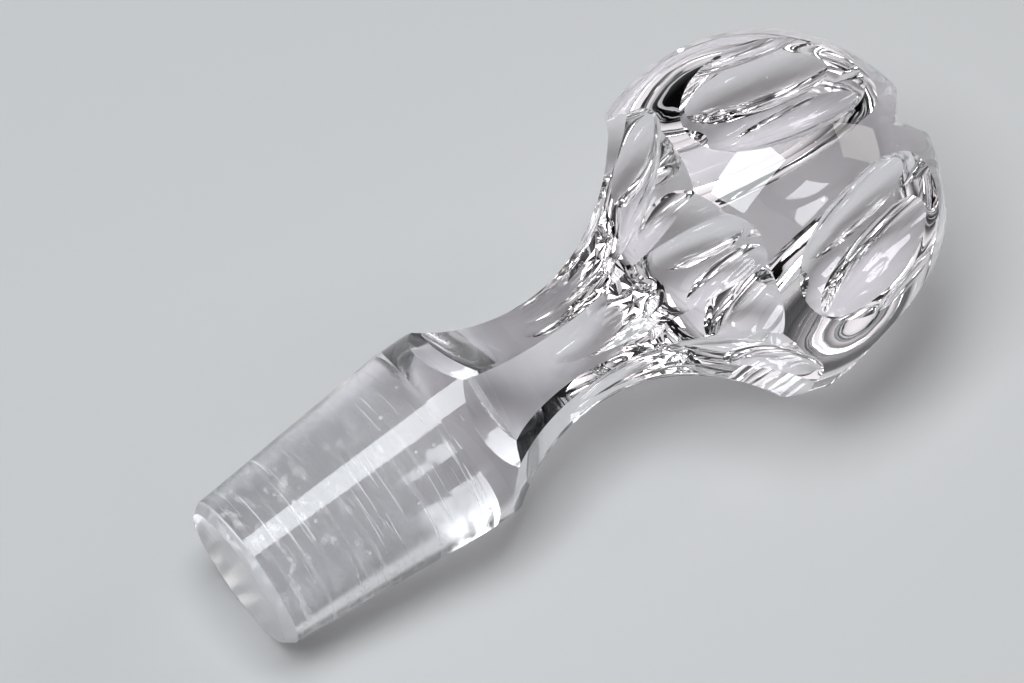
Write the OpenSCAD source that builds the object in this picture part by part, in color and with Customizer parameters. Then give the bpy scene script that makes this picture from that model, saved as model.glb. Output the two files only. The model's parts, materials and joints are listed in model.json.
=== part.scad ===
// Cut-glass bottle stopper: a ball knop on a waisted six-sided neck, above a ground taper plug.
// It lies on its side on a table. +Z is up and +X runs along it, from the plug to the ball.
// The origin is on the table, under the middle of the space that the stopper takes up.
// The glass is turned about one axis first, and grinding wheels then cut every flat and hollow.

/* [Ball] */
// Diameter of the ball
ball_d = 44; // [38:0.5:50]

/* [Neck panels] */
// Number of panels round the neck, of petals above them and of ovals round the ball
cuts = 6; // [5:1:8]
// Distance across the flats at the waist, where the neck is thinnest
waist_flats = 13.1; // [11:0.1:15]
// Distance from the ball's centre down to the waist
waist_reach = 29.9; // [28:0.1:34]
// Diameter of the flat-rimmed wheel that cuts the panels
panel_wheel_d = 49.2; // [44:0.2:56]
// Turn of the panels from midway between two ovals, in degrees
panel_turn = 10; // [-15:1:15]

/* [Petals] */
// Diameter of the wheel that hollows the petals
petal_wheel_d = 45; // [42:0.5:48]
// Radius across the rounded rim of that wheel
petal_rim_r = 8; // [6:0.5:10]
// Height of the petals' wheel above the waist
petal_rise = 2.2; // [1.4:0.1:3]
// How far the petals' wheel reaches in past the flats of the waist
petal_bite = 0.3; // [0.1:0.05:0.6]
// Turn of the petals from the middle of their panels, in degrees
petal_turn = -6; // [-8:1:8]

/* [Ovals] */
// Latitude of the middle of each oval on the ball, in degrees
oval_lat = 17; // [10:1:24]
// Depth of each oval below the ball's surface
oval_depth = 4.7; // [2.5:0.1:6]
// Diameter of the wheel that hollows the ovals
oval_wheel_d = 120; // [80:1:240]
// Radius across the rounded rim of that wheel
oval_rim_r = 13; // [10:0.5:18]
// How far each oval lies from its even place round the ball, in degrees, since they are set by eye
oval_turns = [2, -6, -14, -6, 0, -5];

/* [Star] */
// Number of grooves that cross on the top of the ball, each of which makes two rays
star_grooves = 3; // [2:1:5]
// Depth of the grooves where they cross
star_depth = 2.9; // [1:0.1:4]
// Angle between the two faces of a groove, in degrees
star_angle = 114; // [90:1:140]
// Radius of the bottom of a groove, which is rolled over the top of the ball
star_roll_r = 35; // [30:0.5:60]
// Turn of the first groove from the middle of an oval, in degrees
star_turn = 30; // [0:1:60]

/* [Plug] */
// Diameter of the polished band under the neck, which is the wide end of the taper too
band_d = 24.6; // [22:0.2:28]
// Least height of the polished band, from the lowest point of the panels to the ground taper
band_h = 2.8; // [1:0.1:8]
// Length of the ground taper, with the bevel at its end
taper_len = 28.1; // [20:0.1:36]
// Diameter of the narrow end of the taper, where the bevel starts
taper_end_d = 20; // [16:0.2:22]
// Height of the bevel round the flat end
bevel_h = 1.2; // [0.4:0.1:3]
// Width of the bevel round the flat end
bevel_w = 0.9; // [0.3:0.1:3]

/* [Hidden] */
$fn = 160;

ball_r = ball_d / 2;
band_r = band_d / 2;
taper_end_r = taper_end_d / 2;
end_r = taper_end_r - bevel_w;

// The panel wheel's circle meets the band this far below the waist, in the middle of a panel
waist_r = waist_flats / 2;
panel_wheel_r = panel_wheel_d / 2;
panel_drop = sqrt(pow(panel_wheel_r, 2) - pow(panel_wheel_r - (band_r - waist_r), 2));
// Each wheel is wider than the glass that it cuts
wheel_w = ball_d + 8;

// Distances from the ball's centre down to where the polish stops, to the bevel and to the flat end
polish_reach = waist_reach + panel_drop + band_h;
end_reach = polish_reach + taper_len;
bevel_reach = end_reach - bevel_h;

petal_wheel_r = petal_wheel_d / 2;
oval_wheel_r = oval_wheel_d / 2;
// Distance from the ball's centre out to the centre of an oval's wheel
oval_wheel_out = ball_r - oval_depth + oval_wheel_r;
// A groove is taken out as a ring with a sharp inner edge. It stands out past the ball's top
star_ring_h = 2 * star_depth;
star_ring_w = star_ring_h * tan(star_angle / 2);
star_ring_z = ball_r - star_depth - star_roll_r;

// The stopper lies with one oval underneath, on that oval's lower rim and on an edge of the plug.
// Half the angle that an oval takes up along the ball, and the latitude of its lower rim
oval_half = acos((pow(ball_r, 2) + pow(oval_wheel_out, 2) - pow(oval_wheel_r, 2))
    / (2 * ball_r * oval_wheel_out));
rim_lat = oval_lat - oval_half;
// Edges of the plug that can touch the table, each as a radius and a distance below the ball
plug_edges = [[band_r, polish_reach], [taper_end_r, bevel_reach], [end_r, end_reach]];
// Slope of the axis on the table with the ball on its round surface, or on the oval's rim
function round_lean(edge) = asin(ball_r / norm(edge)) - atan2(edge[0], edge[1]);
function rim_lean(edge) = atan2(ball_r * cos(rim_lat) - edge[0], edge[1] + ball_r * sin(rim_lat));
lean_round = min([for (edge = plug_edges) round_lean(edge)]);
lean_rim = min([for (edge = plug_edges) rim_lean(edge)]);
on_rim = rim_lat < -lean_round;
lean = on_rim ? lean_rim : lean_round;
ball_z = on_rim ? ball_r * cos(rim_lat + lean) : ball_r;
ball_x = (end_reach * cos(lean) + end_r * sin(lean) - ball_r) / 2;

// Copies its children evenly round the stopper's axis
module round_axis(count, turn) {
    for (k = [0 : count - 1])
        rotate([0, 0, turn + k * 360 / count])
            children();
}

// Lays a piece down from its upright place, where the ball's centre is the origin
module lying() {
    translate([ball_x, 0, ball_z])
        rotate([0, 90 - lean, 0])
            children();
}

// The turned glass above the taper: the ball, and a plain stem as thick as the band
module blank() {
    sphere(r = ball_r);
    translate([0, 0, -polish_reach])
        cylinder(r = band_r, h = polish_reach);
}

// Flat-rimmed wheel: waists the neck, scallops the band's upper edge and arches into the ball
module panel_wheel() {
    translate([waist_r + panel_wheel_r, 0, -waist_reach])
        rotate([90, 0, 0])
            cylinder(r = panel_wheel_r, h = wheel_w, center = true);
}

// Wheel with a rounded rim: hollows a petal from the waist up to an arch on the ball
module petal_wheel() {
    translate([waist_r - petal_bite + petal_wheel_r, 0, petal_rise - waist_reach])
        rotate([90, 0, 0])
            rotate_extrude()
                translate([petal_wheel_r - petal_rim_r, 0])
                    circle(r = petal_rim_r);
}

// Larger wheel with a rounded rim: hollows one long oval in the side of the ball
module oval_wheel() {
    rotate([0, -oval_lat, 0])
        translate([oval_wheel_out, 0, 0])
            rotate([90, 0, 0])
                rotate_extrude()
                    translate([oval_wheel_r - oval_rim_r, 0])
                        circle(r = oval_rim_r);
}

// Sharp-rimmed wheel: cuts one groove, deepest at the top of the ball and running out on both sides
module star_groove() {
    intersection() {
        translate([0, 0, star_ring_z])
            rotate([90, 0, 0])
                rotate_extrude()
                    polygon([
                        [star_roll_r, 0],
                        [star_roll_r + star_ring_h, -star_ring_w],
                        [star_roll_r + star_ring_h, star_ring_w]
                    ]);
        translate([-ball_d, -ball_d, 0])
            cube(2 * ball_d);
    }
}

module cut_knop() {
    mid_oval = 180 / cuts;
    color("aliceblue", 0.5)
        lying()
            difference() {
                blank();
                round_axis(cuts, mid_oval + panel_turn) panel_wheel();
                round_axis(cuts, mid_oval + panel_turn + petal_turn) petal_wheel();
                for (k = [0 : cuts - 1])
                    rotate([0, 0, k * 360 / cuts + oval_turns[k % len(oval_turns)]])
                        oval_wheel();
                for (k = [0 : star_grooves - 1])
                    rotate([0, 0, star_turn + k * 180 / star_grooves])
                        star_groove();
            }
}

module ground_plug() {
    color("gainsboro", 0.8)
        lying()
            rotate_extrude()
                polygon([
                    [0, -end_reach],
                    [end_r, -end_reach],
                    [taper_end_r, -bevel_reach],
                    [band_r, -polish_reach],
                    [0, -polish_reach]
                ]);
}

cut_knop();
ground_plug();
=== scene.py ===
# %% [markdown]
# # A cut-glass stopper
#
# The object is a single lump of clear lead glass. A glassmaker turns it roughly round, and a cutter
# then holds it against spinning wheels: each wheel leaves its own kind of flat or hollow. The ball
# carries six oval hollows and a star, the neck six long panels with petals above them, and the plug
# at the bottom is only ground, so that it grips the neck of a bottle.
#
# This lesson makes it the same way. It turns a blank, lets a Geometry Nodes tree do the grinding,
# smooths the result with exact normals, and gives the polished and the ground glass their finishes.

# %% Load the fixed frame
import json
import math

import bpy
import numpy as np
from mathutils import Matrix, Vector


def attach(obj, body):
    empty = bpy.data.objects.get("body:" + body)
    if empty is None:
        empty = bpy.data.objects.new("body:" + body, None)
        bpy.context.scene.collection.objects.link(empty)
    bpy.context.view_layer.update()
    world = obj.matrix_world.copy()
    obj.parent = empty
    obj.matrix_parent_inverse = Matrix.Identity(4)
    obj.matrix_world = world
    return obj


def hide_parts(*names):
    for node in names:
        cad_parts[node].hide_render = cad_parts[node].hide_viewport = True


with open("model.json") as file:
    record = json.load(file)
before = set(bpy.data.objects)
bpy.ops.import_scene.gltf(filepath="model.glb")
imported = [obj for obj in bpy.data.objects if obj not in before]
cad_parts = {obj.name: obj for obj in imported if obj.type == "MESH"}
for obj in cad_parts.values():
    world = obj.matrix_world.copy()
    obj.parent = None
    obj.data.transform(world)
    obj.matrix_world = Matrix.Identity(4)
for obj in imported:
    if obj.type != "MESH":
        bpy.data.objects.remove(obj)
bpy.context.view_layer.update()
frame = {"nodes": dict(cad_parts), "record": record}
print("frame nodes:", sorted(frame["nodes"]))

# %% [markdown]
# ## Where the stopper lies
#
# It is easiest to think of the stopper upright, in millimetres, with the ball's centre at zero and
# the axis along Z. The frame holds it lying down, in metres. The record names the flat end of the
# plug and the direction that it faces, and that is enough to build one matrix from upright to lying.

# %% Sizes along the axis
MM = 0.001
ball_r = 22.0
waist_reach = 29.9
waist_r = 6.55
panel_wheel_r = 24.6
band_r = 12.3
band_h = 2.8
taper_len = 28.1
taper_end_r = 10.0
bevel_h = 1.2
bevel_w = 0.9

panel_drop = math.sqrt(panel_wheel_r**2 - (panel_wheel_r - (band_r - waist_r)) ** 2)
polish_reach = waist_reach + panel_drop + band_h
end_reach = polish_reach + taper_len
bevel_reach = end_reach - bevel_h
print("from the ball's centre to the flat end:", round(end_reach, 2), "mm")

# %% The matrix that lays it down
plug_end = next(m for m in frame["record"]["mounts"] if m["name"] == "plug_end")
axis_up = -Vector(plug_end["axis"]).normalized()
across = Vector((0.0, 1.0, 0.0))
downward = across.cross(axis_up)
ball_centre = Vector(plug_end["pos_m"]) + axis_up * end_reach * MM
turn_over = Matrix((downward, across, axis_up)).transposed().to_4x4()
lie_down = Matrix.Translation(ball_centre) @ turn_over @ Matrix.Scale(MM, 4)
print("ball centre at", [round(v, 4) for v in ball_centre])

# %% [markdown]
# ## The camera
#
# The photograph looks down on the stopper steeply, from far off with a long lens, with the plug at
# the lower left. A long lens keeps both ends of the stopper almost the same size.

# %% Camera
view_azimuth = math.radians(35.63)
view_elevation = math.radians(54.5)
view_distance = 1.0
look_down_axis = 35.0
lens_length = 298.1
shift_right = -0.0122
shift_up = 0.0365

look_at = ball_centre - axis_up * look_down_axis * MM
level = Vector((math.sin(view_azimuth), math.cos(view_azimuth), 0.0))
look = level * math.cos(view_elevation) - Vector((0, 0, 1)) * math.sin(view_elevation)
camera_data = bpy.data.cameras.new("camera")
camera_data.lens = lens_length
camera_data.shift_x = shift_right
camera_data.shift_y = shift_up
camera = bpy.data.objects.new("camera", camera_data)
camera.location = look_at - look * view_distance
camera.rotation_euler = look.to_track_quat("-Z", "Y").to_euler()
bpy.context.scene.collection.objects.link(camera)
bpy.context.scene.camera = camera
print("camera at", [round(v, 3) for v in camera.location])

# %% [markdown]
# ## The turned blank
#
# Before any cutting the glass is a body of revolution: a plug, a plain stem and a ball. Such a body is
# an outline of radius and height, carried round the axis. The ball's part of the outline is an arc, and
# the long straight lines are split up so that the faces stay small and even. Each point also names the
# surface below it, because each surface will get its own normals and finish.

# %% Outline of the blank
BALL, STEM, TAPER, BEVEL, END, PANEL, PETAL, OVAL, STAR = range(9)
FACE_SIZE = 0.6


def straight(start, end, surface):
    """Points from start up to end, without start, each with the surface below it."""
    steps = max(1, round(math.dist(start, end) / FACE_SIZE))
    return [
        (start[0] + (end[0] - start[0]) * k / steps, start[1] + (end[1] - start[1]) * k / steps, surface)
        for k in range(1, steps + 1)
    ]


def blank_outline():
    """The blank's outline from the middle of the plug's end up to the pole of the ball."""
    end_rim = (taper_end_r - bevel_w, -end_reach)
    taper_rim = (taper_end_r, -bevel_reach)
    polish_rim = (band_r, -polish_reach)
    arc_start = -math.acos(band_r / ball_r)
    arc_steps = round(ball_r * (math.pi / 2 - arc_start) / FACE_SIZE)
    points = [(0.0, -end_reach, END)]
    points += straight((0.0, -end_reach), end_rim, END)
    points += straight(end_rim, taper_rim, BEVEL)
    points += straight(taper_rim, polish_rim, TAPER)
    points += straight(polish_rim, (band_r, ball_r * math.sin(arc_start)), STEM)
    for k in range(1, arc_steps + 1):
        angle = arc_start + (math.pi / 2 - arc_start) * k / arc_steps
        points.append((ball_r * math.cos(angle), ball_r * math.sin(angle), BALL))
    return points


blank_points = blank_outline()
print("outline of the blank:", len(blank_points), "points")

# %% [markdown]
# The Screw modifier could carry this outline round, but it would not number the faces by surface. A loop
# over the sides and the rings does both. The first and the last point lie on the axis, so the faces
# beside them are triangles, and the mesh is closed. The cuts will add numbers of their own.


# %% Turn the blank
def turned(name, outline, sides):
    """A closed mesh from an outline that starts and ends on the axis."""
    verts = [(0.0, 0.0, outline[0][1])]
    faces = []
    surfaces = []
    for radius, height, _ in outline[1:-1]:
        for k in range(sides):
            angle = 2 * math.pi * k / sides
            verts.append((radius * math.cos(angle), radius * math.sin(angle), height))
    verts.append((0.0, 0.0, outline[-1][1]))
    rings = len(outline) - 2
    top = len(verts) - 1
    for k in range(sides):
        n = (k + 1) % sides
        faces.append((0, 1 + n, 1 + k))
        surfaces.append(outline[1][2])
        for ring in range(rings - 1):
            low = 1 + ring * sides
            high = low + sides
            faces.append((low + k, low + n, high + n, high + k))
            surfaces.append(outline[ring + 2][2])
        last = 1 + (rings - 1) * sides
        faces.append((last + k, last + n, top))
        surfaces.append(outline[-1][2])
    mesh = bpy.data.meshes.new(name)
    mesh.from_pydata(verts, [], faces)
    mesh.attributes.new("surface", "INT", "FACE").data.foreach_set("value", surfaces)
    return mesh


blank_sides = round(2 * math.pi * ball_r / FACE_SIZE)
stopper = bpy.data.objects.new("stopper", turned("stopper", blank_points, blank_sides))
bpy.context.scene.collection.objects.link(stopper)
print("blank:", len(stopper.data.polygons), "faces")

# %% [markdown]
# ## The grinding wheels
#
# Every cut repeats round the axis, so a Geometry Nodes tree suits it. The tree makes one wheel of
# each kind, places copies of it round the axis, and takes them out of the blank with Mesh Boolean.
# The copies stay instances until the boolean, which then treats each of them as a cutter of its own.
#
# Four wheels do all the work. A flat-rimmed wheel cuts the neck panels, a small one with a rounded rim
# the petals, a large one with a rounded rim the ovals, and one with a sharp rim the star's grooves.
# Their sizes are named inputs of the tree, so that other sizes are easy to try.

# %% Start the tree
cuts_tree = bpy.data.node_groups.new("grinding wheels", "GeometryNodeTree")
cuts_tree.interface.new_socket("Glass", in_out="INPUT", socket_type="NodeSocketGeometry")
cuts_tree.interface.new_socket("Glass", in_out="OUTPUT", socket_type="NodeSocketGeometry")
tree_in = cuts_tree.nodes.new("NodeGroupInput")
tree_out = cuts_tree.nodes.new("NodeGroupOutput")
wheel_sizes = {}


def add_node(tree, kind, inputs=None, **settings):
    """Adds a node. Inputs are values or sockets, by name or number, and settings are its properties."""
    made = tree.nodes.new(kind)
    for name, value in settings.items():
        setattr(made, name, value)
    for key, value in (inputs or {}).items():
        if isinstance(value, bpy.types.NodeSocket):
            tree.links.new(value, made.inputs[key])
        else:
            made.inputs[key].default_value = value
    return made


def node(kind, inputs=None, **settings):
    """Adds a node to the tree of the grinding wheels."""
    return add_node(cuts_tree, kind, inputs, **settings)


def size(name, value):
    """A named input of the tree, with the value it will get on the stopper."""
    kind = "NodeSocketInt" if isinstance(value, int) else "NodeSocketFloat"
    socket = cuts_tree.interface.new_socket(name, in_out="INPUT", socket_type=kind)
    wheel_sizes[socket.identifier] = value
    return tree_in.outputs[socket.identifier]


print("tree:", cuts_tree.name)

# %% [markdown]
# ### Placing a wheel
#
# A cutter holds the glass, turns it by one step after each cut, and brings it to the same wheel again.
# In the tree the glass stays still and the wheel goes round it. Each wheel is made flat about Z, stood
# up so that its own axis runs along Y, moved out from the stopper's axis, and copied to points that
# are all at zero but turned by one step more each.


# %% Helpers that place a wheel
def maths(operation, a, b=0.0):
    """One calculation with one or two numbers or sockets."""
    return node("ShaderNodeMath", {0: a, 1: b}, operation=operation).outputs[0]


def vector(x=0.0, y=0.0, z=0.0):
    """A vector from three numbers or sockets."""
    return node("ShaderNodeCombineXYZ", {0: x, 1: y, 2: z}).outputs[0]


def placed(wheel, place, tilt=0.0):
    """Turns a wheel so that its axis runs along Y, moves it, and then tilts it up about Y."""
    upright = node("GeometryNodeTransform", {"Geometry": wheel, "Rotation": (math.pi / 2, 0, 0)})
    moved = node("GeometryNodeTransform", {"Geometry": upright.outputs[0], "Translation": place})
    turn = vector(y=maths("MULTIPLY", tilt, -1.0))
    return node("GeometryNodeTransform", {"Geometry": moved.outputs[0], "Rotation": turn}).outputs[0]


def round_axis(wheel, surface, count, step, first, extra=0.0):
    """Copies of a wheel round the axis, as instances whose faces carry the surface's number."""
    marked = node(
        "GeometryNodeStoreNamedAttribute",
        {"Geometry": wheel, "Name": "surface", "Value": surface},
        data_type="INT",
        domain="FACE",
    )
    index = node("GeometryNodeInputIndex").outputs[0]
    angle = maths("ADD", maths("ADD", maths("MULTIPLY", index, step), first), extra)
    turn = node("FunctionNodeAxisAngleToRotation", {"Axis": (0, 0, 1), "Angle": angle})
    points = node("GeometryNodePoints", {"Count": count})
    return node(
        "GeometryNodeInstanceOnPoints",
        {"Points": points.outputs[0], "Instance": marked.outputs[0], "Rotation": turn.outputs[0]},
    ).outputs[0]


# %% [markdown]
# ### Panels
#
# The panel wheel waists the neck, scallops the upper edge of the band and runs out into the ball. Its rim
# is flat and wider than the glass, so a plain cylinder is the right cutter. The panels lie some degrees
# away from the middle between two ovals.

# %% Panel wheel
cut_count = 6
cut_step = 2 * math.pi / cut_count
panel_turn = math.radians(10)
panel_first = cut_step / 2 + panel_turn
panel_wheel_width = 2.4 * ball_r
wheel_sides = 256

count_in = size("Cuts round the axis", cut_count)
step_in = maths("DIVIDE", 2 * math.pi, count_in)
panel_r_in = size("Panel wheel radius", panel_wheel_r)
panel_width_in = size("Panel wheel width", panel_wheel_width)
panel_place = vector(
    x=size("Panel wheel out from axis", waist_r + panel_wheel_r),
    z=size("Panel wheel height", -waist_reach),
)
panel_wheel = node(
    "GeometryNodeMeshCylinder",
    {"Vertices": wheel_sides, "Radius": panel_r_in, "Depth": panel_width_in},
)
panels = round_axis(
    placed(panel_wheel.outputs[0], panel_place), PANEL, count_in, step_in, size("First panel", panel_first)
)
print("panels:", cut_count, "cuts, one every", round(math.degrees(cut_step)), "degrees")

# %% [markdown]
# ### Petals
#
# The petal wheel is smaller, its rim is rounded, and it sits a little higher and further in. It bites
# from just below the waist upwards, so each petal is a flute that starts on the neck and ends in an arch
# on the ball. Curve to Mesh makes the wheel: a small circle, the rim, is carried round a larger one.

# %% Petal wheel
petal_wheel_r = 22.5
petal_rim_r = 8.0
petal_rise = 2.2
petal_bite = 0.3
petal_turn = math.radians(-6)
petal_first = panel_first + petal_turn
petal_out = waist_r - petal_bite + petal_wheel_r
petal_rim_sides = 160


def round_rimmed(wheel_radius, rim_radius, path_sides, rim_sides):
    """A ring-shaped wheel: a circle, which is its rim, carried round a larger circle."""
    rim = node("GeometryNodeCurvePrimitiveCircle", {"Resolution": rim_sides, "Radius": rim_radius})
    path_radius = maths("SUBTRACT", wheel_radius, rim_radius)
    path = node("GeometryNodeCurvePrimitiveCircle", {"Resolution": path_sides, "Radius": path_radius})
    ring = node("GeometryNodeCurveToMesh", {"Curve": path.outputs[0], "Profile Curve": rim.outputs[0]})
    return ring.outputs[0]


petal_rim_in = size("Petal wheel rim", petal_rim_r)
petal_wheel_in = size("Petal wheel radius", petal_wheel_r)
petal_wheel = round_rimmed(petal_wheel_in, petal_rim_in, wheel_sides, petal_rim_sides)
petal_place = vector(
    x=size("Petal wheel out from axis", petal_out),
    z=size("Petal wheel height", petal_rise - waist_reach),
)
petals = round_axis(
    placed(petal_wheel, petal_place), PETAL, count_in, step_in, size("First petal", petal_first)
)
print("petals:", cut_count, "cuts by a wheel", 2 * petal_wheel_r, "mm across")

# %% [markdown]
# ### Ovals
#
# An oval is what a large wheel with a rounded rim leaves in the side of a ball: as long as the wheel's
# curve lets it be, and as wide as its rim. The cutter set the ovals by eye, so each one has a turn of
# its own, which an Index Switch hands to its copy.

# %% Oval wheel
oval_lat = math.radians(17)
oval_depth = 4.7
oval_wheel_r = 60.0
oval_rim_r = 13.0
oval_out = ball_r - oval_depth + oval_wheel_r
oval_turns = [math.radians(turn) for turn in (2, -6, -14, -6, 0, -5)]
oval_wheel_sides = 640
oval_rim_sides = 128

oval_rim_in = size("Oval wheel rim", oval_rim_r)
oval_wheel_in = size("Oval wheel radius", oval_wheel_r)
oval_wheel = round_rimmed(oval_wheel_in, oval_rim_in, oval_wheel_sides, oval_rim_sides)
oval_place = vector(x=size("Oval wheel out from ball", oval_out))
oval_index = node("GeometryNodeInputIndex").outputs[0]
oval_turn = node("GeometryNodeIndexSwitch", {"Index": oval_index}, data_type="FLOAT")
while len(oval_turn.index_switch_items) < cut_count:
    oval_turn.index_switch_items.new()
for k, turn in enumerate(oval_turns):
    cuts_tree.links.new(size(f"Turn of oval {k + 1}", turn), oval_turn.inputs[k + 1])
ovals = round_axis(
    placed(oval_wheel, oval_place, size("Oval latitude", oval_lat)),
    OVAL,
    count_in,
    step_in,
    0.0,
    oval_turn.outputs[0],
)
print("ovals:", len(oval_turns), "cuts,", oval_depth, "mm deep")

# %% [markdown]
# ### Star
#
# The star's grooves are rolled over the top of the ball against a sharp rim. A groove therefore has a
# round bottom line and two slanting faces, and it runs out on both sides of the ball. The tree takes it
# out as an arc of a kite-shaped outline, with one corner of the kite pointing in. Three grooves that
# cross give six rays.

# %% Groove of the star
star_depth = 2.9
star_half_angle = math.radians(57)
star_roll_r = 35.0
star_centre_z = ball_r - star_depth - star_roll_r
groove_steps = 200
groove_start = math.radians(25)
groove_sweep = math.radians(130)

star_fall_in = size("Groove cutter height", 2 * star_depth)
star_width = maths("MULTIPLY", star_fall_in, maths("TANGENT", size("Star half angle", star_half_angle)))
star_outline = node(
    "GeometryNodeCurvePrimitiveQuadrilateral",
    {"Width": maths("MULTIPLY", star_fall_in, 2.0), "Bottom Height": star_width, "Top Height": star_width},
    mode="KITE",
)
star_path = node(
    "GeometryNodeCurveArc",
    {
        "Resolution": groove_steps,
        "Radius": maths("ADD", size("Groove bottom radius", star_roll_r), star_fall_in),
        "Start Angle": groove_start,
        "Sweep Angle": groove_sweep,
    },
)
star_ring = node(
    "GeometryNodeCurveToMesh",
    {"Curve": star_path.outputs[0], "Profile Curve": star_outline.outputs[0], "Fill Caps": True},
)
print("groove:", star_depth, "mm deep where it crosses the top")

# %% Place the grooves
groove_count = 3
groove_step = math.pi / groove_count
star_first = math.radians(30)

groove_count_in = size("Star grooves", groove_count)
star_place = vector(z=size("Groove centre height", star_centre_z))
star = round_axis(
    placed(star_ring.outputs[0], star_place),
    STAR,
    groove_count_in,
    maths("DIVIDE", math.pi, groove_count_in),
    size("First groove", star_first),
)
print("star:", groove_count, "grooves and", 2 * groove_count, "rays")

# %% [markdown]
# ### Cutting
#
# One Mesh Boolean takes all the wheels out of the blank. Where the edges of two cuts almost meet, it
# leaves points that lie almost on top of each other, and the slivers between them would break up in an
# export. So Merge by Distance joins such points, and the mesh stays closed. The tree also stores each
# point's upright place in millimetres as an attribute, because the finishes follow the stopper's own
# axis and not the table's.

# %% End of the tree
join_distance = 0.001

cutting = node(
    "GeometryNodeMeshBoolean", {"Mesh 1": tree_in.outputs[0]}, operation="DIFFERENCE", solver="MANIFOLD"
)
for wheels in (panels, petals, ovals, star):
    cuts_tree.links.new(wheels, cutting.inputs["Mesh 2"])
joined = node(
    "GeometryNodeMergeByDistance",
    {"Geometry": cutting.outputs[0], "Distance": size("Join points closer than", join_distance)},
)
upright_place = node(
    "GeometryNodeStoreNamedAttribute",
    {
        "Geometry": joined.outputs[0],
        "Name": "upright",
        "Value": node("GeometryNodeInputPosition").outputs[0],
    },
    data_type="FLOAT_VECTOR",
    domain="POINT",
)
polished_glass = bpy.data.materials.new("polished_glass")
ground_glass = bpy.data.materials.new("ground_glass")
solid = node("GeometryNodeRealizeInstances", {0: upright_place.outputs[0]})
finished = node("GeometryNodeSetMaterial", {0: solid.outputs[0], "Material": polished_glass})
cuts_tree.links.new(finished.outputs[0], tree_out.inputs[0])
print("tree:", len(cuts_tree.nodes), "nodes and", len(wheel_sizes), "named sizes")

# %% [markdown]
# The modifier's inputs are set by their identifiers before the object is first evaluated. The result then
# becomes a plain mesh, and the modifier goes, because only the finished glass is handed over.

# %% Cut the blank
grinding = stopper.modifiers.new("grinding", "NODES")
grinding.node_group = cuts_tree
for identifier, value in wheel_sizes.items():
    grinding[identifier] = value
evaluated = stopper.evaluated_get(bpy.context.evaluated_depsgraph_get())
cut_mesh = bpy.data.meshes.new_from_object(evaluated)
cut_mesh.name = "stopper"
stopper.modifiers.clear()
stopper.data = cut_mesh
print("cut glass:", len(cut_mesh.polygons), "faces")

# %% [markdown]
# ## Exact normals
#
# Cut glass shows every error of its surface, because light bends there twice. Blender would guess smooth
# normals from the faces, but here they are known: each face lies on a ball, a cone or a wheel whose shape
# and place are given. So the normals are worked out from those shapes, face by face, and set as custom
# normals. Inside a cut they run smoothly, and along its edge they jump, which keeps the edge crisp.

# %% Read the cut mesh into arrays
face_count = len(cut_mesh.polygons)
surface_of_face = np.zeros(face_count, int)
cut_mesh.attributes["surface"].data.foreach_get("value", surface_of_face)
corners_of_face = np.zeros(face_count, int)
cut_mesh.polygons.foreach_get("loop_total", corners_of_face)
places = np.zeros(len(cut_mesh.vertices) * 3)
cut_mesh.vertices.foreach_get("co", places)
corner_vertex = np.zeros(len(cut_mesh.loops), int)
cut_mesh.loops.foreach_get("vertex_index", corner_vertex)
corner_place = places.reshape(-1, 3)[corner_vertex]
corner_surface = np.repeat(surface_of_face, corners_of_face)
print("faces on each surface:", np.bincount(surface_of_face).tolist())

# %% [markdown]
# ### Turned surfaces
#
# A ball's normal points away from its centre. On a stem, a cone or a bevel it points away from the axis,
# and it leans down by as much as the surface widens upwards. The flat end faces straight down.


# %% Normals of the turned surfaces
def unit(vectors):
    """The same directions with length 1."""
    return vectors / np.linalg.norm(vectors, axis=1, keepdims=True)


def turned_normal(points, widening):
    """Normals of a turned surface whose radius grows upwards by widening for each unit of height."""
    radial = points * (1.0, 1.0, 0.0)
    return unit(unit(radial) - (0.0, 0.0, widening))


corner_normal = unit(corner_place)
taper_widening = (band_r - taper_end_r) / (bevel_reach - polish_reach)
for surface, widening in ((STEM, 0.0), (TAPER, taper_widening), (BEVEL, bevel_w / bevel_h)):
    here = corner_surface == surface
    corner_normal[here] = turned_normal(corner_place[here], widening)
corner_normal[corner_surface == END] = (0.0, 0.0, -1.0)
print("the taper widens by", round(taper_widening, 4), "mm for each mm of height")

# %% [markdown]
# ### Wheel cuts
#
# In a cut the glass faces the wheel. On a panel that is straight towards the wheel's axis. On a petal or
# an oval it is towards the circle that the rim was carried round. A groove has two slanting faces.


# %% Normals of one copy of each wheel
def panel_normal(points):
    """Towards the axis of the panel wheel."""
    to_axis = (waist_r + panel_wheel_r, 0.0, -waist_reach) - points
    return unit(to_axis * (1.0, 0.0, 1.0))


def round_rim_normal(points, centre, path_r):
    """Towards the circle that a wheel's rounded rim is carried round."""
    from_centre = points - centre
    in_wheel = unit(from_centre * (1.0, 0.0, 1.0))
    return unit(in_wheel * path_r - from_centre)


def petal_normal(points):
    centre = (petal_out, 0.0, petal_rise - waist_reach)
    return round_rim_normal(points, centre, petal_wheel_r - petal_rim_r)


def oval_normal(points):
    away = np.array((math.cos(oval_lat), 0.0, math.sin(oval_lat)))
    return round_rim_normal(points, away * oval_out, oval_wheel_r - oval_rim_r)


def groove_normal(points, side):
    """Away from one of the two slanting faces of a groove, which lie at its left and at its right."""
    outward = unit((points - (0.0, 0.0, star_centre_z)) * (1.0, 0.0, 1.0))
    return unit(outward - (0.0, side / math.tan(star_half_angle), 0.0))


def groove_left(points):
    return groove_normal(points, 1.0)


def groove_right(points):
    return groove_normal(points, -1.0)


# %% [markdown]
# A wheel cut has several copies round the axis, and a face says only which kind of cut it belongs to. So
# every copy's normal is tried on it, and the one that lies nearest to the flat face is the right one.

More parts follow.
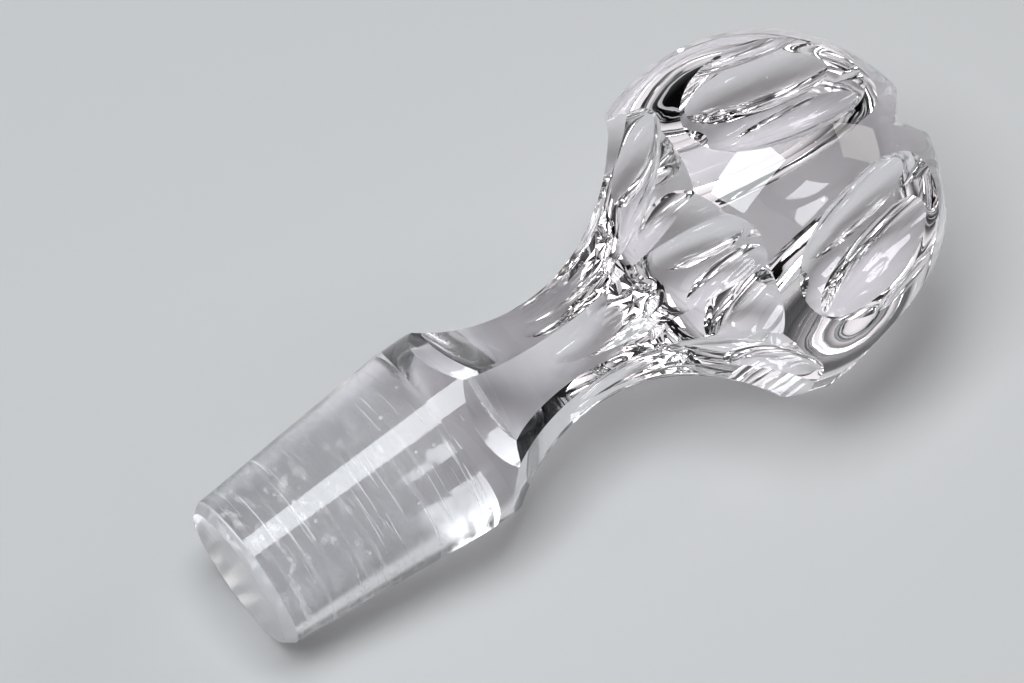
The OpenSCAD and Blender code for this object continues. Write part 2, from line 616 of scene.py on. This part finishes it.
# %% Try every copy
flat = np.zeros(face_count * 3)
cut_mesh.polygons.foreach_get("normal", flat)
flat = np.repeat(flat.reshape(-1, 3), corners_of_face, axis=0)


def spun(points, angle):
    """Points turned about Z."""
    c = np.cos(angle)
    s = np.sin(angle)
    x, y, z = points.T
    return np.stack((x * c - y * s, x * s + y * c, z), axis=1)


even_turns = np.arange(cut_count) * cut_step
groove_turns = star_first + np.arange(2 * groove_count) * groove_step
wheel_cuts = (
    (PANEL, panel_normal, panel_first + even_turns),
    (PETAL, petal_normal, petal_first + even_turns),
    (OVAL, oval_normal, even_turns + oval_turns),
    (STAR, groove_left, groove_turns),
    (STAR, groove_right, groove_turns),
)
nearness = np.full(len(corner_vertex), -1.0)
for surface, normal_of, turns in wheel_cuts:
    here = np.flatnonzero(corner_surface == surface)
    for turn in turns:
        tried = spun(normal_of(spun(corner_place[here], -turn)), turn)
        fit = (tried * flat[here]).sum(axis=1)
        better = fit > nearness[here]
        corner_normal[here[better]] = tried[better]
        nearness[here[better]] = fit[better]

off = np.degrees(np.arccos(np.clip((flat * corner_normal).sum(axis=1), -1, 1)))
print("normals worked out; farthest from a flat face:", round(float(off.max()), 2), "degrees")

# %% [markdown]
# ## Laying it down
#
# The normals now go onto the mesh, which then takes its lying place in the frame. The taper, its bevel
# and the flat end are ground, and everything above them is polished, so each face gets one of two glasses.

# %% Lay the cut glass down
cut_mesh.polygons.foreach_set("use_smooth", np.ones(face_count, bool))
on_ground = np.isin(surface_of_face, (TAPER, BEVEL, END))
cut_mesh.materials.clear()
for glass in (polished_glass, ground_glass):
    cut_mesh.materials.append(glass)
cut_mesh.polygons.foreach_set("material_index", on_ground.astype(np.int32))
cut_mesh.normals_split_custom_set(corner_normal)
cut_mesh.transform(lie_down)
print("ground faces:", int(on_ground.sum()), "of", face_count)

# %% [markdown]
# ## The two finishes
#
# Both finishes are the same lead glass, which bends light strongly, so both use the Principled shader with
# full transmission and an index of refraction of 1.56. What differs is the skin. The patterns read the
# upright place that the tree stored, so that marks can run round the axis wherever the stopper lies.

# %% Clear lead glass
GLASS_IOR = 1.56


def glass_tree(material):
    """Turns a material into clear lead glass. Returns its tree, its shader and the upright place."""
    material.use_nodes = True
    tree = material.node_tree
    shader = tree.nodes["Principled BSDF"]
    shader.inputs["IOR"].default_value = GLASS_IOR
    shader.inputs["Transmission Weight"].default_value = 1.0
    place = add_node(tree, "ShaderNodeAttribute", attribute_name="upright").outputs["Vector"]
    return tree, shader, place


polish_tree, polish, polish_place = glass_tree(polished_glass)
ground_tree, ground, ground_place = glass_tree(ground_glass)
print("two glasses with an index of refraction of", GLASS_IOR)

# %% [markdown]
# ### Patterns
#
# Three helpers make most of the patterns below: soft noise, a range that is picked out of a value and
# stretched, and a blend of two colours. Rates are per millimetre, because the upright place is in
# millimetres.


# %% Helpers for patterns
def noise(tree, place, rate, detail=2.0):
    """Soft random values between 0 and 1. Rate is how often they change along each axis, per mm."""
    at = add_node(tree, "ShaderNodeMapping", {"Vector": place, "Scale": rate})
    made = add_node(tree, "ShaderNodeTexNoise", {"Vector": at.outputs[0], "Scale": 1.0, "Detail": detail})
    return made.outputs["Fac"]


def between(tree, value, low, high, to_low=0.0, to_high=1.0, kind="LINEAR"):
    """Stretches the part of a value between low and high to a new range, and cuts off the rest."""
    made = add_node(
        tree,
        "ShaderNodeMapRange",
        {"Value": value, "From Min": low, "From Max": high, "To Min": to_low, "To Max": to_high},
        interpolation_type=kind,
    )
    return made.outputs[0]


def blend_colours(tree, factor, first, second):
    """From the first colour to the second one. A Mix node keeps its colours in sockets 6 and 7."""
    made = add_node(tree, "ShaderNodeMix", {"Factor": factor, 6: first, 7: second}, data_type="RGBA")
    return made.outputs[2]


# %% [markdown]
# ### Polished glass: the skin
#
# Hand-polished facets are never quite flat. A soft bump, some thousandths of a millimetre high over a few
# millimetres, makes what shines through them swim a little. A breath of grease dulls the shine in
# patches. Old lead glass can have a faint lilac cast, so its two tints hold a little less green than red
# and blue.

# %% Polished glass: waves, grease and tint
wave_rate = (0.22, 0.22, 0.22)
wave_height = 0.008
grease_rate = (0.09, 0.09, 0.13)
greasiest = 0.035
cool_lilac = (0.98, 0.963, 0.992, 1.0)
warm_lilac = (0.992, 0.966, 0.98, 1.0)

waves = noise(polish_tree, polish_place, wave_rate, detail=1.0)
polish_bump = add_node(
    polish_tree, "ShaderNodeBump", {"Height": waves, "Strength": 1.0, "Distance": wave_height * MM}
)
polish_tree.links.new(polish_bump.outputs[0], polish.inputs["Normal"])

grease = noise(polish_tree, polish_place, grease_rate, detail=5.0)
polish_dullness = between(polish_tree, grease, 0.5, 0.75, to_high=greasiest)
polish_tree.links.new(polish_dullness, polish.inputs["Roughness"])
polish_tint = blend_colours(polish_tree, grease, cool_lilac, warm_lilac)
polish_tree.links.new(polish_tint, polish.inputs["Base Color"])
print("polished glass with waves and tint:", len(polish_tree.nodes), "nodes")

# %% [markdown]
# ### Polished glass: dust
#
# A few specks of dust lie on the glass. A Voronoi texture fills space with cells, and gives each cell a
# random colour and each point its distance from the middle of its cell. Only a cell whose colour is
# bright enough gets a speck, and the brightest get the largest. A speck lets less light through.

# %% Polished glass: dust
dust_rate = 0.75
dust_from = 0.8
dust_largest = 0.11
dust_edge = 0.03
dust_clearness = 0.45


def spots(tree, place, rate, from_brightness, largest):
    """Round spots of random sizes: a value above 0 inside a spot, and below 0 outside it."""
    cells = add_node(tree, "ShaderNodeTexVoronoi", {"Vector": place, "Scale": rate})
    brightness = add_node(tree, "ShaderNodeSeparateXYZ", {0: cells.outputs["Color"]}).outputs[0]
    reach = between(tree, brightness, from_brightness, 1.0, to_high=largest)
    inside = add_node(tree, "ShaderNodeMath", {0: reach, 1: cells.outputs["Distance"]}, operation="SUBTRACT")
    return inside.outputs[0]


dust = spots(polish_tree, polish_place, dust_rate, dust_from, dust_largest)
dusty = between(polish_tree, dust, 0.0, dust_edge, to_low=1.0, to_high=dust_clearness)
polish_tree.links.new(dusty, polish.inputs["Transmission Weight"])
print("polished glass:", len(polish_tree.nodes), "nodes")

# %% [markdown]
# ### Ground glass: grinding lines
#
# The plug was turned against an abrasive, and years of use in a bottle have rubbed it almost clear again.
# A thin haze is left, with lines that run round the taper. The flat end was ground on a plate, so its
# lines are straight. Noise that changes fast along the axis and slowly across it gives such lines.

# %% Ground glass: grinding lines
end_edge = 0.02

ground_height = add_node(ground_tree, "ShaderNodeSeparateXYZ", {0: ground_place}).outputs["Z"]
on_end = between(ground_tree, ground_height, end_edge - end_reach, -end_reach)


def ground_lines(fine, long, detail):
    """Lines round the taper, and straight ones on the flat end."""
    around = noise(ground_tree, ground_place, (long, long, fine), detail)
    straight_on = noise(ground_tree, ground_place, (fine, long, 0.0), detail)
    made = add_node(
        ground_tree,
        "ShaderNodeMix",
        {"Factor": on_end, 2: around, 3: straight_on},
        data_type="FLOAT",
    )
    return made.outputs[0]


lines = ground_lines(fine=9.0, long=0.12, detail=3.0)
deep_lines = ground_lines(fine=3.2, long=0.07, detail=1.0)
print("ground glass with lines:", len(ground_tree.nodes), "nodes")

# %% [markdown]
# ### Ground glass: white marks
#
# The deepest of the lines are white scratches in groups, and small chips and smears crowd towards the
# narrow end. The chips are spots like the dust, only larger. All three are added up into one mask.

# %% Ground glass: white marks
patch_rate = (0.16, 0.16, 0.2)
smear_rate = (0.5, 0.5, 0.8)
chip_rate = 0.85
chip_from = 0.72
chip_largest = 0.3
chip_edge = 0.12
smear_strength = 0.8
more_at_end = 0.3


def combine(tree, operation, a, b):
    """One calculation with two values, kept between 0 and 1."""
    return add_node(tree, "ShaderNodeMath", {0: a, 1: b}, operation=operation, use_clamp=True).outputs[0]


def plus(a, b):
    """The sum of two values of the ground glass."""
    return combine(ground_tree, "ADD", a, b)


def times(a, b):
    """The product of two values of the ground glass."""
    return combine(ground_tree, "MULTIPLY", a, b)


towards_end = between(ground_tree, ground_height, -polish_reach, -end_reach)
patches = noise(ground_tree, ground_place, patch_rate, detail=3.0)
scratched = between(ground_tree, patches, 0.42, 0.62, to_low=0.15, to_high=0.85)
scratched = plus(scratched, times(towards_end, more_at_end))
scratches = times(between(ground_tree, deep_lines, 0.64, 0.72), scratched)

smears = noise(ground_tree, ground_place, smear_rate, detail=6.0)
smeared = times(between(ground_tree, smears, 0.52, 0.75), towards_end)
chips = spots(ground_tree, ground_place, chip_rate, chip_from, chip_largest)
chipped = times(between(ground_tree, chips, 0.0, chip_edge), smears)
white_marks = plus(plus(scratches, chipped), times(smeared, smear_strength))
print("ground glass with white marks:", len(ground_tree.nodes), "nodes")

# %% [markdown]
# ### Ground glass: haze and shine
#
# White marks and haze scatter light instead of letting it through, so they take away some of the
# transmission. The lines also dull the shine and give the bump. No bottle ever rubbed the flat end and its
# bevel, so they are still matt.

# %% Ground glass: haze and shine
haze_strength = 0.06
mark_strength = 0.75
matt_haze = 0.3
matt_dullness = 0.3
matt_edge = 0.1
line_height = 0.01
clear_tint = (0.94, 0.945, 0.968, 1.0)
mark_tint = (0.97, 0.97, 0.965, 1.0)

unrubbed = between(ground_tree, ground_height, matt_edge - bevel_reach, -bevel_reach)
haze = times(between(ground_tree, lines, 0.35, 0.7, to_low=0.2), haze_strength)
haze = plus(haze, times(unrubbed, matt_haze))
scatter = plus(times(white_marks, mark_strength), haze)
ground_tree.links.new(combine(ground_tree, "SUBTRACT", 1.0, scatter), ground.inputs["Transmission Weight"])

ground_dullness = between(ground_tree, lines, 0.3, 0.75, to_low=0.02, to_high=0.11)
ground_dullness = plus(ground_dullness, times(unrubbed, matt_dullness))
ground_tree.links.new(ground_dullness, ground.inputs["Roughness"])
ground_tint = blend_colours(ground_tree, white_marks, clear_tint, mark_tint)
ground_tree.links.new(ground_tint, ground.inputs["Base Color"])
ground_bump = add_node(
    ground_tree, "ShaderNodeBump", {"Height": lines, "Strength": 0.6, "Distance": line_height * MM}
)
ground_tree.links.new(ground_bump.outputs[0], ground.inputs["Normal"])
print("ground glass:", len(ground_tree.nodes), "nodes")

# %% [markdown]
# ## Floor
#
# The stopper lies on a plain pale floor. Glass has no colour of its own and only bends what stands round
# it, so the floor is a little below white: the lamps' reflections then still show on top of it.

# %% Floor
floor_sides = 128
floor_r = 1.4
floor_grey = (0.60, 0.60, 0.60, 1.0)
floor_roughness = 0.9

floor_rim = []
for k in range(floor_sides):
    angle = 2 * math.pi * k / floor_sides
    floor_rim.append((floor_r * math.cos(angle), floor_r * math.sin(angle), 0.0))
floor_mesh = bpy.data.meshes.new("floor")
floor_mesh.from_pydata(floor_rim, [], [tuple(range(floor_sides))])
floor = bpy.data.objects.new("floor", floor_mesh)
bpy.context.scene.collection.objects.link(floor)
floor_paint = bpy.data.materials.new("floor_paint")
floor_paint.use_nodes = True
paint = floor_paint.node_tree.nodes["Principled BSDF"]
paint.inputs["Base Color"].default_value = floor_grey
paint.inputs["Roughness"].default_value = floor_roughness
floor_mesh.materials.append(floor_paint)
print("floor:", 2 * floor_r, "m across")

# %% [markdown]
# ## Light
#
# Clear glass needs something dark around it as well, or its edges would vanish. The studio is pale at the
# height of the floor, dark above that, and bright again overhead, where the walls turn into a ceiling. A
# Light Path node lets the camera and the glass see it at full strength but makes it a weak lamp, so that
# the soft lamp overhead does the lighting.

# %% Studio
dark_wall = (0.03, 0.03, 0.033, 1.0)
bright_ceiling = (1.0, 0.97, 0.99, 1.0)
pale_foot = (0.6, 0.6, 0.6, 1.0)
overhead = Vector((-0.2, -0.1, 1.0)).normalized()
studio_as_lamp = 0.15

world = bpy.data.worlds.new("studio")
bpy.context.scene.world = world
world.use_nodes = True
sky = world.node_tree
background = sky.nodes["Background"]
direction = add_node(sky, "ShaderNodeTexCoord").outputs["Generated"]
upwards = add_node(sky, "ShaderNodeSeparateXYZ", {0: direction}).outputs["Z"]
facing = add_node(sky, "ShaderNodeVectorMath", {0: direction, 1: overhead}, operation="DOT_PRODUCT")
ceiling = between(sky, facing.outputs["Value"], 0.35, 0.95, kind="SMOOTHSTEP")
above_foot = between(sky, upwards, 0.05, 0.25, kind="SMOOTHSTEP")
room = blend_colours(sky, ceiling, dark_wall, bright_ceiling)
sky.links.new(blend_colours(sky, above_foot, pale_foot, room), background.inputs["Color"])

rays = add_node(sky, "ShaderNodeLightPath").outputs
seen = combine(sky, "ADD", rays["Is Camera Ray"], rays["Is Glossy Ray"])
seen = combine(sky, "ADD", seen, rays["Is Transmission Ray"])
sky.links.new(between(sky, seen, 0.0, 1.0, to_low=studio_as_lamp), background.inputs["Strength"])
print("studio:", len(sky.nodes), "nodes")

# %% [markdown]
# ### Lamps
#
# Two soft lamps light the stopper. The large one overhead stands where both the taper and the polished
# band mirror it, so it draws one long pale stripe over the plug. The low one is weak and a little warm.
# It stands beyond the ball and adds some sparkle to the cuts.

# %% Lamps
lamps_look_at = Vector((0, 0, 0.02))


def softbox(name, place, width, height, power, colour):
    """A soft lamp that looks at the middle of the stopper."""
    light = bpy.data.lights.new(name, "AREA")
    light.shape = "RECTANGLE"
    light.size = width
    light.size_y = height
    light.energy = power
    light.color = colour
    lamp = bpy.data.objects.new(name, light)
    lamp.location = place
    lamp.rotation_euler = (lamps_look_at - Vector(place)).to_track_quat("-Z", "Y").to_euler()
    bpy.context.scene.collection.objects.link(lamp)
    print(name, "of", power, "W")


softbox(
    "overhead lamp",
    place=(-0.25, -0.07, 1.06),
    width=0.5,
    height=0.85,
    power=11.5,
    colour=(0.93, 0.97, 1.0),
)
softbox(
    "low lamp",
    place=(0.75, -0.15, 0.45),
    width=0.3,
    height=0.4,
    power=1.2,
    colour=(1.0, 0.96, 0.92),
)
bpy.context.scene.view_settings.view_transform = "Standard"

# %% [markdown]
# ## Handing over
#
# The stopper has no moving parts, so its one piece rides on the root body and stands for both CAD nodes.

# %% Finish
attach(stopper, "root")
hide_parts("cut_knop", "ground_plug")
